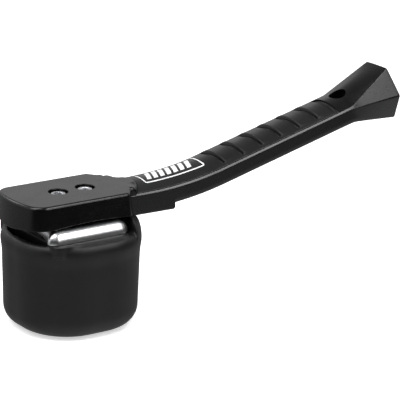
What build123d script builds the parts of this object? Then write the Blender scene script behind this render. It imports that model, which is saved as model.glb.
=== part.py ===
from build123d import *
import os
from math import asin, cos, radians, sin, sqrt, tan

# One-sided rubber mallet with a bent moulded handle. Millimetres.
# Origin: centre of the striking face, which is the flat underside of the rubber block.
# +X runs from the head towards the pommel, +Z runs up through the head.

# ---- driving dimensions: rubber block ----
RUBBER_LENGTH = 89.0        # along X, across the bulge
RUBBER_WIDTH = 85.0         # along Y, across the bulge
RUBBER_CORNER = 38.0        # plan radius of the block's corners
RUBBER_TOP = 72.0
BULGE_HEIGHT = 57.5         # where the rolled shoulder is widest
WAIST_HEIGHT = 50.0         # where the shoulder meets the drafted wall
WAIST_INSET = 1.0
WALL_DRAFT_INSET = 0.9      # further inset where the wall meets the bottom edge
BOTTOM_RADIUS = 12.6
SHOULDER_INSET = 6.4        # inset of the flat top from the bulge
LEDGE_HEIGHT = 63.4         # open top ledge, from the nose to the rear wall
LEDGE_END = 28.0
LEDGE_ROLL = 3.0            # radius of the ledge's outer edge
PAD_TOP = 64.6              # straight-sided pad that carries the clamping plate
PAD_START, PAD_END = -33.0, 22.0
PAD_HALF_WIDTH = 36.6
NECK_SLOT_FLOOR = 68.4      # clears the underside of the neck block

# ---- driving dimensions: clamping plate under the head cover ----
PLATE_THICKNESS = 8.0
PLATE_START, PLATE_END = -35.1, 25.0
PLATE_HOLLOW = 7.5          # how far the nose end is hollowed at the middle
PLATE_HALF_WIDTH = 32.8
PLATE_CORNER = 5.0
PLATE_CORNER_RADIUS = 5.9
PLATE_TOP_RADIUS = 5.8      # the rim is rounded like a pillow
PLATE_BOTTOM_RADIUS = 0.5

# ---- driving dimensions: head cover, part of the handle moulding ----
COVER_TOP = 88.8
COVER_BOTTOM = 73.4
COVER_HALF_WIDTH = 26.4
COVER_DRAFT = 6.0
NOSE_X = -45.2
NOSE_ARC_RADIUS = 92.0
NOSE_CORNER_RADIUS = 10.0
SHOULDER_X = 27.5           # where the parallel sides end
SHOULDER_RADIUS = 3.5
REAR_X = 33.8               # where the shoulders run into the neck's sides
TONGUE_X = 46.6             # tip of the tongue that laps over the neck
TONGUE_RADIUS = 22.8
TONGUE_HALF_WIDTH = 16.9
TONGUE_EDGE_RADIUS = 1.0
TOP_EDGE_RADIUS = 2.0
TONGUE_DEPTH = 3.0          # below the handle's edge line
COVER_WALL = 3.6
COVER_CEILING = 79.4        # inside the skirt
ARCH_HEIGHT = 1.4           # rise of the skirt's lower edge between its ends
ARCH_REACH = 28.0           # half the length of that arch
BOSS_LENGTH, BOSS_WIDTH, BOSS_CORNER = 56.0, 40.0, 6.0     # solid middle, down to the clamping plate
BOSS_X = -6.0

# ---- driving dimensions: fasteners, M6 ----
SCREW_PITCH = 20.2
SCREW_RADIUS = 3.0
HEAD_RADIUS = 5.0
HEAD_HEIGHT = 6.0
HEAD_SINK = 1.1             # head top below the cover's top
SOCKET_FLATS = 5.0
SOCKET_DEPTH = 3.0
COUNTERBORE_RADIUS = 6.5
CLEARANCE_RADIUS = 3.3
SCREW_LENGTH = 30.0
WASHER_THICKNESS = 1.6
WASHER_GAP = 1.2
NUT_FLATS = 10.0
NUT_HEIGHT = 5.0
ANCHOR_LENGTH, ANCHOR_WIDTH, ANCHOR_THICKNESS = 52.0, 44.0, 4.0
ANCHOR_CORNER = 8.0

# ---- driving dimensions: handle ----
EDGE_LINE_Z = 83.55         # height of the handle's upper edge line in the neck
BEND_START_X = 47.0
BEND_RADIUS = 250.0
HANDLE_TILT = 14.32
HANDLE_END_X = 252.2        # where the edge line meets the pommel's end plane
HANDLE_HALF_WIDTH = 17.7
EDGE_CHAMFER = 1.2
CROWN_RIM = 0.3             # the crown's edge above the edge line
CROWN_HEIGHT = 5.2
SIDE_DEPTH = 8.15
LOWER_EDGE_RADIUS = 3.0
BELLY_DEPTH = 13.5
NECK_BLOCK_END_X = 69.4
NECK_BLOCK_BOTTOM = 69.3
NECK_BLOCK_TOP = 78.5       # inside the handle
NECK_BLOCK_EDGE = 1.5
FLARE_LENGTH = 39.65
HANG_HOLE_X = 215.8
HANG_HOLE_RADIUS = 6.1

# ---- driving dimensions: soft grip cover, label and reinforcing bar ----
GRIP_HALF_WIDTH = 16.2
GRIP_FLOOR = -1.4
GROOVE_COUNT = 7
GROOVE_FIRST_X = 109.6
GROOVE_LAST_X = 202.2
GROOVE_WIDTH = 4.0
GRIP_END_X = GROOVE_LAST_X + GROOVE_WIDTH / 2     # the cover ends in the last groove
GROOVE_DEPTH = 1.2
GROOVE_HALF_LENGTH = 13.4
LABEL_START_X, LABEL_END_X = 51.0, 99.3
LABEL_HALF_WIDTH = 9.5
LABEL_CORNER = 1.9
LABEL_THICKNESS = 0.6
LABEL_PROUD = 0.15
BAR_START_X, BAR_END_X = -20.0, 64.0
BAR_WIDTH, BAR_THICKNESS = 18.0, 4.0
BAR_Z = 77.0
BAR_CORNER = 3.0

# ---- pommel hexagon, about its centre, in the end plane ----
HEX_HALF_WIDTH = 21.6
HEX_HALF_HEIGHT = 19.1
HEX_DROP = 5.5              # centre below the edge line
HEX_CROWN = 0.15            # bow of its top and bottom
POMMEL_EDGE = 1.2
POMMEL_LOW_INSET, POMMEL_LOW_DEPTH = 1.0, 10.4      # where the lower ridges start, from the handle's side

SCREW_XS = (-SCREW_PITCH / 2, SCREW_PITCH / 2)
SEAT_Z = COVER_TOP - HEAD_SINK - HEAD_HEIGHT - WASHER_THICKNESS
PLATE_TOP = PAD_TOP + PLATE_THICKNESS
CROWN_RISE = CROWN_HEIGHT - CROWN_RIM
CROWN_HALF_WIDTH = HANDLE_HALF_WIDTH - EDGE_CHAMFER
CROWN_RADIUS = (CROWN_HALF_WIDTH ** 2 + CROWN_RISE ** 2) / (2 * CROWN_RISE)
CROWN_CENTRE = CROWN_HEIGHT - CROWN_RADIUS
BEND_END_X = BEND_START_X + BEND_RADIUS * sin(radians(HANDLE_TILT))
FAR = 200.0                 # longer than the part's cuts need


# ---- the handle's centre path and the planes across it ----

def bend_point(angle):
    """Point of the edge line's arc where it has turned by the angle."""
    return (BEND_START_X + BEND_RADIUS * sin(angle), 0, EDGE_LINE_Z + BEND_RADIUS * (1 - cos(angle)))


def edge_line():
    """Path of the handle's upper edge line in the XZ plane: neck, bend, straight grip."""
    tilt = radians(HANDLE_TILT)
    end_z = bend_point(tilt)[2] + (HANDLE_END_X - BEND_END_X) * tan(tilt)
    neck = Line((SHOULDER_X, 0, EDGE_LINE_Z), bend_point(0))
    bend = ThreePointArc(neck @ 1, bend_point(tilt / 2), bend_point(tilt))
    grip = Line(bend @ 1, (HANDLE_END_X, 0, end_z))
    return Wire([neck, bend, grip])


def station(x):
    """Plane across the handle where its edge line is at x: local x is +Y, local y is up."""
    reach = min(max(x - BEND_START_X, 0.0), BEND_END_X - BEND_START_X)
    angle = asin(reach / BEND_RADIUS)
    z = bend_point(angle)[2] + max(x - BEND_END_X, 0.0) * tan(angle)
    return Plane(origin=(x, 0, z), x_dir=(0, 1, 0), z_dir=(cos(angle), 0, sin(angle)))


def crown_point(y, offset=0.0):
    return (y, CROWN_CENTRE + sqrt((CROWN_RADIUS + offset) ** 2 - y ** 2))


def handle_outline():
    """Outer section of the handle: crowned top, chamfered edges, flat sides, bellied underside."""
    w = HANDLE_HALF_WIDTH
    low = w - LOWER_EDGE_RADIUS
    corner = LOWER_EDGE_RADIUS * sin(radians(45))
    rim = CROWN_RIM
    right_side = Polyline((CROWN_HALF_WIDTH, rim), (w, rim - EDGE_CHAMFER), (w, -SIDE_DEPTH))
    right_low = ThreePointArc(
        (w, -SIDE_DEPTH), (low + corner, -SIDE_DEPTH - corner), (low, -SIDE_DEPTH - LOWER_EDGE_RADIUS)
    )
    belly = ThreePointArc(right_low @ 1, (0, -BELLY_DEPTH), (-low, -SIDE_DEPTH - LOWER_EDGE_RADIUS))
    left_low = ThreePointArc(belly @ 1, (-low - corner, -SIDE_DEPTH - corner), (-w, -SIDE_DEPTH))
    left_side = Polyline((-w, -SIDE_DEPTH), (-w, rim - EDGE_CHAMFER), (-CROWN_HALF_WIDTH, rim))
    crown = ThreePointArc(left_side @ 1, (0, CROWN_HEIGHT), (CROWN_HALF_WIDTH, rim))
    return make_face([*right_side.edges(), right_low, belly, left_low, *left_side.edges(), crown])


def crown_arc(half_width, offset):
    return ThreePointArc(
        crown_point(-half_width, offset), crown_point(0, offset), crown_point(half_width, offset)
    )


def crowned_strip():
    """Section of the soft cover: flat floor, upright sides, crowned top."""
    top = crown_arc(GRIP_HALF_WIDTH, 0)
    rest = Polyline(top @ 1, (GRIP_HALF_WIDTH, GRIP_FLOOR), (-GRIP_HALF_WIDTH, GRIP_FLOOR), top @ 0)
    return make_face([top, *rest.edges()])


def crowned_band(half_width, low, high):
    """Section between two offsets of the crown."""
    top = crown_arc(half_width, high)
    under = crown_arc(half_width, low)
    return make_face([top, Line(top @ 1, under @ 1), under, Line(under @ 0, top @ 0)])


def along_handle(section):
    """Sweep a section from the head to the pommel's end plane."""
    path = edge_line()
    return sweep(station(SHOULDER_X) * section, path=path)


def beyond(x):
    """Everything past the plane across the handle at x."""
    return extrude(station(x) * Rectangle(FAR, FAR), amount=FAR)


# ---- head cover ----

def cover_plan():
    """Plan of the head cover at its top: arched nose, parallel sides, shoulders to the neck."""
    w = COVER_HALF_WIDTH
    nose_side_x = NOSE_X + NOSE_ARC_RADIUS - sqrt(NOSE_ARC_RADIUS ** 2 - w ** 2)
    nose = ThreePointArc((nose_side_x, w), (NOSE_X, 0), (nose_side_x, -w))
    rest = Polyline(
        (nose_side_x, -w),
        (SHOULDER_X, -w),
        (REAR_X, -HANDLE_HALF_WIDTH),
        (REAR_X, HANDLE_HALF_WIDTH),
        (SHOULDER_X, w),
        (nose_side_x, w),
    )
    plan = make_face([nose, *rest.edges()])
    plan = fillet(plan.vertices().sort_by(Axis.X)[:2], NOSE_CORNER_RADIUS)
    shoulders = [v for v in plan.vertices() if abs(v.X - SHOULDER_X) < 0.01]
    return fillet(shoulders, SHOULDER_RADIUS)


def tongue():
    """Rounded lap of the head cover over the top of the neck."""
    disc = Pos(TONGUE_X - TONGUE_RADIUS, 0, 0) * Circle(TONGUE_RADIUS)
    band = Pos(TONGUE_X / 2, 0, 0) * Rectangle(TONGUE_X, 2 * TONGUE_HALF_WIDTH)
    low = EDGE_LINE_Z - TONGUE_DEPTH
    lap = extrude(Pos(0, 0, low) * (disc & band), amount=COVER_TOP - low)
    rim = [e for e in lap.faces().sort_by(Axis.Z)[-1].edges() if e.center().X > REAR_X]
    return fillet(rim, TONGUE_EDGE_RADIUS)


def skirt_arch():
    """Shallow arch under the skirt, across the head."""
    radius = (ARCH_REACH ** 2 + ARCH_HEIGHT ** 2) / (2 * ARCH_HEIGHT)
    return Pos(0, 0, COVER_BOTTOM + ARCH_HEIGHT - radius) * Rot(90, 0, 0) * Cylinder(radius, FAR)


def head_cover():
    height = COVER_TOP - COVER_BOTTOM
    plan = cover_plan()
    shell = extrude(Pos(0, 0, COVER_TOP) * plan, amount=-height, taper=-COVER_DRAFT)
    rim = [e for e in shell.faces().sort_by(Axis.Z)[-1].edges() if e.center().X < REAR_X - 0.1]
    shell = fillet(rim, TOP_EDGE_RADIUS)
    hollow = extrude(Pos(0, 0, COVER_BOTTOM) * offset(plan, -COVER_WALL), amount=COVER_CEILING - COVER_BOTTOM)
    boss = extrude(
        Pos(BOSS_X, 0, PLATE_TOP) * RectangleRounded(BOSS_LENGTH, BOSS_WIDTH, BOSS_CORNER),
        amount=COVER_TOP - TOP_EDGE_RADIUS - PLATE_TOP,
    )
    return shell - skirt_arch() - hollow + boss + tongue()


def neck_block():
    """Square-ended block under the neck, flush with the handle's sides."""
    length = NECK_BLOCK_END_X - SHOULDER_X
    footprint = Pos(SHOULDER_X + length / 2, 0, NECK_BLOCK_BOTTOM) * Rectangle(length, 2 * HANDLE_HALF_WIDTH)
    block = extrude(footprint, amount=NECK_BLOCK_TOP - NECK_BLOCK_BOTTOM)
    low_edges = block.faces().sort_by(Axis.Z)[0].edges()
    return fillet([e for e in low_edges if e.center().X > SHOULDER_X + 1], NECK_BLOCK_EDGE)


# ---- pommel ----

def pommel_section(progress):
    """Six-sided section that grows from the handle's outline, at 0, to the end hexagon, at 1."""
    rim = CROWN_RIM

    def mix(start, end):
        return (start[0] + (end[0] - start[0]) * progress, start[1] + (end[1] - start[1]) * progress)

    flat = HEX_HALF_WIDTH / 2
    top = mix((CROWN_HALF_WIDTH, rim), (flat, HEX_HALF_HEIGHT - HEX_DROP))
    side = mix((HANDLE_HALF_WIDTH, rim - EDGE_CHAMFER), (HEX_HALF_WIDTH, -HEX_DROP))
    low_start = (HANDLE_HALF_WIDTH - POMMEL_LOW_INSET, -POMMEL_LOW_DEPTH)
    low = mix(low_start, (flat, -HEX_HALF_HEIGHT - HEX_DROP))
    crown = mix((0, CROWN_HEIGHT), (0, HEX_HALF_HEIGHT - HEX_DROP + HEX_CROWN))
    belly = mix((0, -BELLY_DEPTH), (0, -HEX_HALF_HEIGHT - HEX_DROP - HEX_CROWN))
    arc_over = ThreePointArc((-top[0], top[1]), crown, top)
    right = Polyline(top, side, low)
    arc_under = ThreePointArc(low, belly, (-low[0], low[1]))
    left = Polyline((-low[0], low[1]), (-side[0], side[1]), (-top[0], top[1]))
    return make_face([arc_over, *right.edges(), arc_under, *left.edges()])


def pommel():
    run = FLARE_LENGTH * cos(radians(HANDLE_TILT))
    steps = ((0.0, 0.0), (0.1, 0.05), (1.0, 1.0))
    sections = [station(HANDLE_END_X - run * (1 - along)) * pommel_section(grown) for along, grown in steps]
    flare = loft(sections, ruled=True)
    end = flare.faces().sort_by(Axis.X)[-1]
    return fillet(end.edges(), POMMEL_EDGE)


def hang_hole():
    """Through hole across the handle."""
    plane = station(HANG_HOLE_X)
    axis = Plane(origin=plane.origin, x_dir=plane.z_dir, z_dir=plane.y_dir)
    return axis * Cylinder(HANG_HOLE_RADIUS, FAR)


# ---- fasteners ----

def hexagon(flats, height, low_z):
    return extrude(Pos(0, 0, low_z) * RegularPolygon(flats / 2, 6, major_radius=False), amount=height)


def cap_screw(x, turn):
    top = COVER_TOP - HEAD_SINK
    seat = top - HEAD_HEIGHT
    head = extrude(Pos(0, 0, seat) * Circle(HEAD_RADIUS), amount=HEAD_HEIGHT)
    head = chamfer(head.edges().sort_by(Axis.Z)[-1], 0.6)
    head -= Rot(0, 0, turn) * hexagon(SOCKET_FLATS, SOCKET_DEPTH + 1, top - SOCKET_DEPTH)
    shank = extrude(Pos(0, 0, seat - SCREW_LENGTH) * Circle(SCREW_RADIUS), amount=SCREW_LENGTH)
    shank = chamfer(shank.edges().sort_by(Axis.Z)[0], 0.8)
    return Pos(x, 0, 0) * (head + shank)


def lock_washer(x):
    ring = Circle(HEAD_RADIUS - 0.1) - Circle(SCREW_RADIUS + 0.15)
    ring -= Pos(HEAD_RADIUS / 2 + 1, 0) * Rectangle(HEAD_RADIUS, WASHER_GAP)
    return Pos(x, 0, SEAT_Z) * extrude(ring, amount=WASHER_THICKNESS)


def screw_holes(radius, low_z, high_z):
    return [
        Pos(x, 0, low_z) * extrude(Circle(radius), amount=high_z - low_z)
        for x in SCREW_XS
    ]


def weld_nut(x):
    top = PAD_TOP - ANCHOR_THICKNESS
    nut = hexagon(NUT_FLATS, NUT_HEIGHT, top - NUT_HEIGHT)
    bore = Pos(0, 0, top - NUT_HEIGHT) * extrude(Circle(SCREW_RADIUS), amount=NUT_HEIGHT)
    return Pos(x, 0, 0) * (nut - bore)


def anchor_space():
    outline = Pos(0, 0, PAD_TOP) * RectangleRounded(ANCHOR_LENGTH, ANCHOR_WIDTH, ANCHOR_CORNER)
    return extrude(outline, amount=-ANCHOR_THICKNESS)


def anchor_plate():
    plate = anchor_space()
    for hole in screw_holes(CLEARANCE_RADIUS, PAD_TOP - ANCHOR_THICKNESS, PAD_TOP):
        plate -= hole
    return plate


# ---- head ----

def clamping_plate():
    """Thick plate with a pillow-shaped rim, cut corners and a hollow nose end, under the head cover."""
    w, inner = PLATE_HALF_WIDTH, PLATE_HALF_WIDTH - PLATE_CORNER
    nose = ThreePointArc((PLATE_START, inner), (PLATE_START + PLATE_HOLLOW, 0), (PLATE_START, -inner))
    sides = Polyline(
        nose @ 1,
        (PLATE_START + PLATE_CORNER, -w),
        (PLATE_END - PLATE_CORNER, -w),
        (PLATE_END, -inner),
        (PLATE_END, inner),
        (PLATE_END - PLATE_CORNER, w),
        (PLATE_START + PLATE_CORNER, w),
        nose @ 0,
    )
    plan = make_face([nose, sides])
    plan = fillet(plan.vertices(), PLATE_CORNER_RADIUS)
    plate = extrude(Pos(0, 0, PAD_TOP) * plan, amount=PLATE_THICKNESS)
    plate = fillet(plate.faces().sort_by(Axis.Z)[-1].edges(), PLATE_TOP_RADIUS)
    plate = fillet(plate.faces().sort_by(Axis.Z)[0].edges(), PLATE_BOTTOM_RADIUS)
    for hole in screw_holes(CLEARANCE_RADIUS, PAD_TOP, PLATE_TOP):
        plate -= hole
    return plate


def rubber_profile():
    """Half section of the block's rim: x is measured outwards from the bulge."""
    wall = -WAIST_INSET - WALL_DRAFT_INSET
    inner = -30.0
    bend = BOTTOM_RADIUS * (1 - cos(radians(45)))
    bottom = Line((inner, 0), (wall - BOTTOM_RADIUS, 0))
    edge = ThreePointArc(bottom @ 1, (wall - bend, bend), (wall, BOTTOM_RADIUS))
    side = Line(edge @ 1, (-WAIST_INSET, WAIST_HEIGHT - 2.5))
    swell = Spline(side @ 1, (-0.35, BULGE_HEIGHT - 3.6), (0, BULGE_HEIGHT), tangents=[side % 1, (0, 1)])
    rise = RUBBER_TOP - BULGE_HEIGHT
    shoulder_middle = (-SHOULDER_INSET * 0.27, BULGE_HEIGHT + rise * 0.58)
    shoulder = ThreePointArc(swell @ 1, shoulder_middle, (-SHOULDER_INSET, RUBBER_TOP))
    top = Polyline(shoulder @ 1, (inner, RUBBER_TOP), (inner, 0))
    return [bottom, edge, side, swell, shoulder, *top.edges()]


def rubber_block():
    path = RectangleRounded(RUBBER_LENGTH, RUBBER_WIDTH, RUBBER_CORNER).face().outer_wire()
    travel = path % 0
    outwards = travel.cross(Vector(0, 0, 1))
    start = Plane(origin=path @ 0, x_dir=outwards, z_dir=-travel)
    rim = sweep(start * make_face(rubber_profile()), path=path)
    core_length, core_width = RUBBER_LENGTH - 50, RUBBER_WIDTH - 50
    core = extrude(RectangleRounded(core_length, core_width, RUBBER_CORNER - 25), amount=RUBBER_TOP)
    return rim + core


def rubber_head():
    """Rubber block with its ledge and pad for the clamping plate, and the moulded-in anchor's space."""
    reach = LEDGE_END + RUBBER_LENGTH
    ledge = Pos(LEDGE_END - reach / 2, 0, LEDGE_HEIGHT) * Rectangle(reach, 2 * RUBBER_WIDTH)
    block = rubber_block() - extrude(ledge, amount=RUBBER_TOP)
    level = [e for e in block.edges() if abs(e.center().Z - LEDGE_HEIGHT) < 0.01]
    rim = [e for e in level if e.center().X < LEDGE_END - 0.1 and e.geom_type != GeomType.LINE]
    block = fillet(rim, LEDGE_ROLL)
    pad = Pos((PAD_START + PAD_END) / 2, 0, LEDGE_HEIGHT) * RectangleRounded(
        PAD_END - PAD_START, 2 * PAD_HALF_WIDTH, 4
    )
    block += extrude(pad, amount=PAD_TOP - LEDGE_HEIGHT)
    slot = Pos(LEDGE_END + 10, 0, NECK_SLOT_FLOOR + 5) * Box(40, 2 * HANDLE_HALF_WIDTH + 2, 10)
    block -= slot
    low = PAD_TOP - ANCHOR_THICKNESS
    block -= anchor_space()
    for x in SCREW_XS:
        block -= Pos(x, 0, 0) * hexagon(NUT_FLATS, NUT_HEIGHT, low - NUT_HEIGHT)
    for hole in screw_holes(SCREW_RADIUS + 0.1, SEAT_Z - SCREW_LENGTH - 1, low):
        block -= hole
    return block


# ---- handle moulding and what it carries ----

def grip_space():
    """Space of the soft cover in the handle's top, from the head cover's tongue to the last groove."""
    strip = along_handle(crowned_strip())
    strip -= beyond(GRIP_END_X)
    tongue = Pos(TONGUE_X - TONGUE_RADIUS, 0, EDGE_LINE_Z - 10) * Cylinder(
        TONGUE_RADIUS, 40, align=(Align.CENTER, Align.CENTER, Align.MIN)
    )
    return strip - tongue


def grooves():
    step = (GROOVE_LAST_X - GROOVE_FIRST_X) / (GROOVE_COUNT - 1)
    channel = crowned_band(GROOVE_HALF_LENGTH, -GROOVE_DEPTH, 4.0)
    return [
        extrude(station(GROOVE_FIRST_X + step * i) * channel, amount=GROOVE_WIDTH / 2, both=True)
        for i in range(GROOVE_COUNT)
    ]


def label_space():
    skin = along_handle(crowned_band(LABEL_HALF_WIDTH, LABEL_PROUD - LABEL_THICKNESS, LABEL_PROUD))
    window = Pos((LABEL_START_X + LABEL_END_X) / 2, 0, EDGE_LINE_Z) * extrude(
        RectangleRounded(LABEL_END_X - LABEL_START_X, 2 * LABEL_HALF_WIDTH - 0.02, LABEL_CORNER), amount=30
    )
    return skin & window


def bar_space():
    middle = (BAR_START_X + BAR_END_X) / 2
    return Pos(middle, 0, BAR_Z) * Box(BAR_END_X - BAR_START_X, BAR_WIDTH, BAR_THICKNESS)


def core_bar():
    bar = fillet(bar_space().edges().filter_by(Axis.Z), BAR_CORNER)
    for hole in screw_holes(CLEARANCE_RADIUS, BAR_Z - BAR_THICKNESS, BAR_Z + BAR_THICKNESS):
        bar -= hole
    return bar


def handle_moulding(grip):
    """Head cover, neck, handle and pommel as one solid, before it is parted at the last groove."""
    body = head_cover() + along_handle(handle_outline()) + neck_block() + pommel()
    body = body - grip - hang_hole() - bar_space()
    for hole in screw_holes(CLEARANCE_RADIUS, PLATE_TOP, COVER_TOP):
        body -= hole
    for hole in screw_holes(COUNTERBORE_RADIUS, SEAT_Z, COVER_TOP + 1):
        body -= hole
    return body


def build():
    grip = grip_space()
    label = label_space()
    cover = grip - label
    for groove in grooves():
        cover -= groove
    moulding = handle_moulding(grip)
    end = beyond(GRIP_END_X)
    return {
        "handle_body": moulding - end,
        "pommel_end": moulding & end,
        "grip_cover": cover,
        "label": label,
        "core_bar": core_bar(),
        "clamping_plate": clamping_plate(),
        "rubber_head": rubber_head(),
        "anchor_plate": anchor_plate(),
        "weld_nuts": Compound([weld_nut(x) for x in SCREW_XS]),
        "lock_washers": Compound([lock_washer(x) for x in SCREW_XS]),
        "head_screws": Compound([cap_screw(x, turn) for x, turn in zip(SCREW_XS, (0, 30))]),
    }


os.makedirs("parts", exist_ok=True)
for name, shape in build().items():
    export_step(shape, f"parts/{name}.step")
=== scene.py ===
from math import atan2, cos, pi, radians, sin, sqrt, tan

import bmesh
import bpy
import numpy as np
from mathutils import Matrix, Vector


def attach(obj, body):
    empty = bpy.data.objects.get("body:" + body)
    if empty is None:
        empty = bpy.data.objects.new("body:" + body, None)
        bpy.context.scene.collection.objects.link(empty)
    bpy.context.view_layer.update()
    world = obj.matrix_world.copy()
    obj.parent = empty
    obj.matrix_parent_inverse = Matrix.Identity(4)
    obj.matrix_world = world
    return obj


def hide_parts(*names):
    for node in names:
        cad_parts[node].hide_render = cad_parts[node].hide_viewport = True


# The mallet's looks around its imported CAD. Sizes below are millimetres in the row frame, as in
# the CAD source; make_mesh turns them into metres.

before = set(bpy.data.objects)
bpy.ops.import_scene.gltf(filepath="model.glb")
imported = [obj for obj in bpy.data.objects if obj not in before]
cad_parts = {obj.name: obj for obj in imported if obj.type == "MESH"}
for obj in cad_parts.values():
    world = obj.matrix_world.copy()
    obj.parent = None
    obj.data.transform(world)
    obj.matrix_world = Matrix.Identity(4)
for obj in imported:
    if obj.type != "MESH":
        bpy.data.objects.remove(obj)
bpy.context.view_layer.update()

MM = 0.001

# ---- sizes shared with the CAD ----
COVER_TOP, COVER_BOTTOM = 88.8, 73.4
COVER_HALF_WIDTH, COVER_DRAFT = 26.4, radians(6)
NOSE_X, NOSE_ARC, NOSE_CORNER = -45.4, 72.0, 11.0
SHOULDER_X, SHOULDER_RADIUS, REAR_X = 27.5, 3.5, 33.8
TOP_EDGE, COVER_WALL, COVER_CEILING = 2.0, 3.6, 79.4
COVER_LIP, COVER_REAR_RADIUS = 0.5, 0.5
SHARP_EDGE, SHARP_FROM, SHARP_OVER = 0.03, 1.8, 1.6     # where the top edge meets the tongue
ARCH_REACH, ARCH_HEIGHT, CHIN_HALF, CHIN_DROP = 28.0, 1.4, 22.0, 2.2
BOSS = (-34.0, 22.0, 20.0, 6.0)                 # x from, x to, half width, corner
TONGUE_START, TONGUE_TIP, TONGUE_RADIUS, TONGUE_HALF = 32.0, 46.6, 22.8, 17.2
TONGUE_PROUD, TONGUE_FALL_START, TONGUE_FALL, TONGUE_EDGE = 0.7, 36.2, 8.0, 2.4
TONGUE_SINK, TONGUE_LOW = 0.005, -3.0           # below the cover's top, below the edge line
EDGE_Z, BEND_START, BEND_RADIUS, TILT = 83.55, 47.0, 250.0, radians(14.32)
HANDLE_START, HANDLE_END = 29.0, 252.2
HALF_WIDTH, CROWN_HALF, CROWN_RIM, CROWN_RISE = 17.7, 16.5, 0.3, 4.9
CHAMFER_LOW, SIDE_LOW, BELLY_BOW = -0.9, -11.15, 2.35
FLARE_START, FLARE_LENGTH = 213.78, 38.42
HEX_HALF_WIDTH, HEX_HALF_HEIGHT, HEX_DROP, HEX_BOW = 21.6, 19.1, 5.5, 0.15
POMMEL_EDGE = 1.2
DISH = ((0.86, 0.0), (0.845, 0.12), (0.83, 0.45), (0.815, 0.6), (0.4, 0.6))     # scale, depth
NECK = (30.0, 69.4, 69.3, 78.5)                 # x from, x to, bottom, top
NECK_EDGE = 1.5
HOLE_X, HOLE_RADIUS = 215.8, 6.1
GRIP_HALF, GRIP_FLOOR, GRIP_SQUARE_X = 16.2, -1.4, 50.5
GRIP_GAP, GRIP_EDGE, GRIP_END_GAP = 0.3, 0.2, 0.03
GROOVES = [109.6 + (202.2 - 109.6) / 6 * i for i in range(7)]
GROOVE_WIDTH, GROOVE_DEPTH, GROOVE_HALF, GROOVE_LIFT = 4.4, 2.2, 13.4, 0.45
GRIP_END = GROOVES[-1] + GROOVE_WIDTH / 2
LABEL = (51.0, 99.3, 9.5, 1.9)                  # x from, x to, half width, corner
LABEL_PROUD, LABEL_DEPTH = 0.15, 0.45
FRAME_INSETS, PRINT_PROUD, PRINT_DEPTH = (0.15, 1.15), 0.07, 0.1
STRIPES, STRIPE_START, STRIPE_PITCH = 7, 57.2, 5.35
STRIPE_WIDTH, STRIPE_HALF, STRIPE_SLANT = 3.4, 5.6, 2.2
BAR = (-20.0, 64.0, 9.0, 75.0, 79.0)            # x from, x to, half width, bottom, top
SCREW_XS = (-10.1, 10.1)
HEAD_TOP, HEAD_SEAT, WASHER_SEAT, SHANK_LOW = 87.7, 81.7, 80.1, 51.7
HEAD_RADIUS, SHANK_RADIUS, SOCKET_FLATS, SOCKET_DEPTH = 5.0, 3.0, 5.0, 3.0
COUNTERBORE, COUNTERBORE_RIM, CLEARANCE = 6.5, 0.35, 3.3
PLATE = (-35.1, 25.0, 32.8, 4.6)                # x from, x to, half width, corner cut
PLATE_BOTTOM, PLATE_TOP, PLATE_CAP_INSET = 64.6, 72.6, 9.0
PLATE_CUT_SHRINK = 0.586                        # how fast the cut corners shrink with the inset
PLATE_TOP_RADIUS, PLATE_LOW_RADIUS, PLATE_HOLLOW = 7.4, 0.5, 7.5
RUBBER_HALF_LENGTH, RUBBER_HALF_WIDTH, RUBBER_CORNER = 44.3, 42.4, 38.0
RUBBER_TOP, BULGE_Z, WAIST_Z = 72.0, 57.5, 47.5
WAIST_INSET, WALL_INSET, BOTTOM_RADIUS, SHOULDER_INSET = 1.0, 1.9, 12.2, 6.4
LEDGE_Z, LEDGE_END, LEDGE_INSET = 63.4, 28.0, 4.0
MOAT_INSET, MOAT_Z, MOAT_END = 5.0, 56.0, -31.0
BLOCK_CAP_INSET = 24.0
VOXEL, RELAX_FACTOR, RELAX_STEPS = 0.7, 0.5, 12
PAD = (-33.0, 22.0, 36.6, 4.0, 64.6)            # x from, x to, half width, corner, top
NECK_SLOT_Z = 68.4


# ---- meshes ----

def make_mesh(name, points, faces):
    """Object from points in millimetres, with its faces turned outwards."""
    mesh = bpy.data.meshes.new(name)
    mesh.from_pydata([tuple(p) for p in np.asarray(points, float) * MM], [], faces)
    mesh.validate()
    bm = bmesh.new()
    bm.from_mesh(mesh)
    bmesh.ops.recalc_face_normals(bm, faces=bm.faces)
    bm.to_mesh(mesh)
    bm.free()
    obj = bpy.data.objects.new(name, mesh)
    bpy.context.scene.collection.objects.link(obj)
    return obj


def ring_faces(count, size):
    """Quads between each two neighbouring rings of a loft."""
    faces = []
    for i in range(count - 1):
        low, high = i * size, (i + 1) * size
        for j in range(size):
            k = (j + 1) % size
            faces.append((low + j, low + k, high + k, high + j))
    return faces


def loft(name, rings):
    """Closed skin through rings of equal size, with a flat cap at each end."""
    rings = np.asarray(rings)
    count, size = rings.shape[:2]
    caps = [tuple(range(size)), tuple(range((count - 1) * size, count * size))]
    faces = ring_faces(count, size) + caps
    return make_mesh(name, rings.reshape(-1, 3), faces)


def bake(obj):
    """Apply the object's modifiers to its mesh."""
    graph = bpy.context.evaluated_depsgraph_get()
    graph.update()
    mesh = bpy.data.meshes.new_from_object(obj.evaluated_get(graph))
    mesh.name = obj.name
    old = obj.data
    obj.modifiers.clear()
    obj.data = mesh
    bpy.data.meshes.remove(old)
    return obj


def combine(obj, joined=(), cut=()):
    """Solid union with some objects and then difference with others, which are used up."""
    for operation, tools in (("UNION", joined), ("DIFFERENCE", cut)):
        for tool in tools:
            step = obj.modifiers.new("solid", "BOOLEAN")
            step.operation, step.object, step.solver = operation, tool, "MANIFOLD"
    bake(obj)
    for tool in (*joined, *cut):
        mesh = tool.data
        bpy.data.objects.remove(tool)
        bpy.data.meshes.remove(mesh)
    return obj


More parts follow.
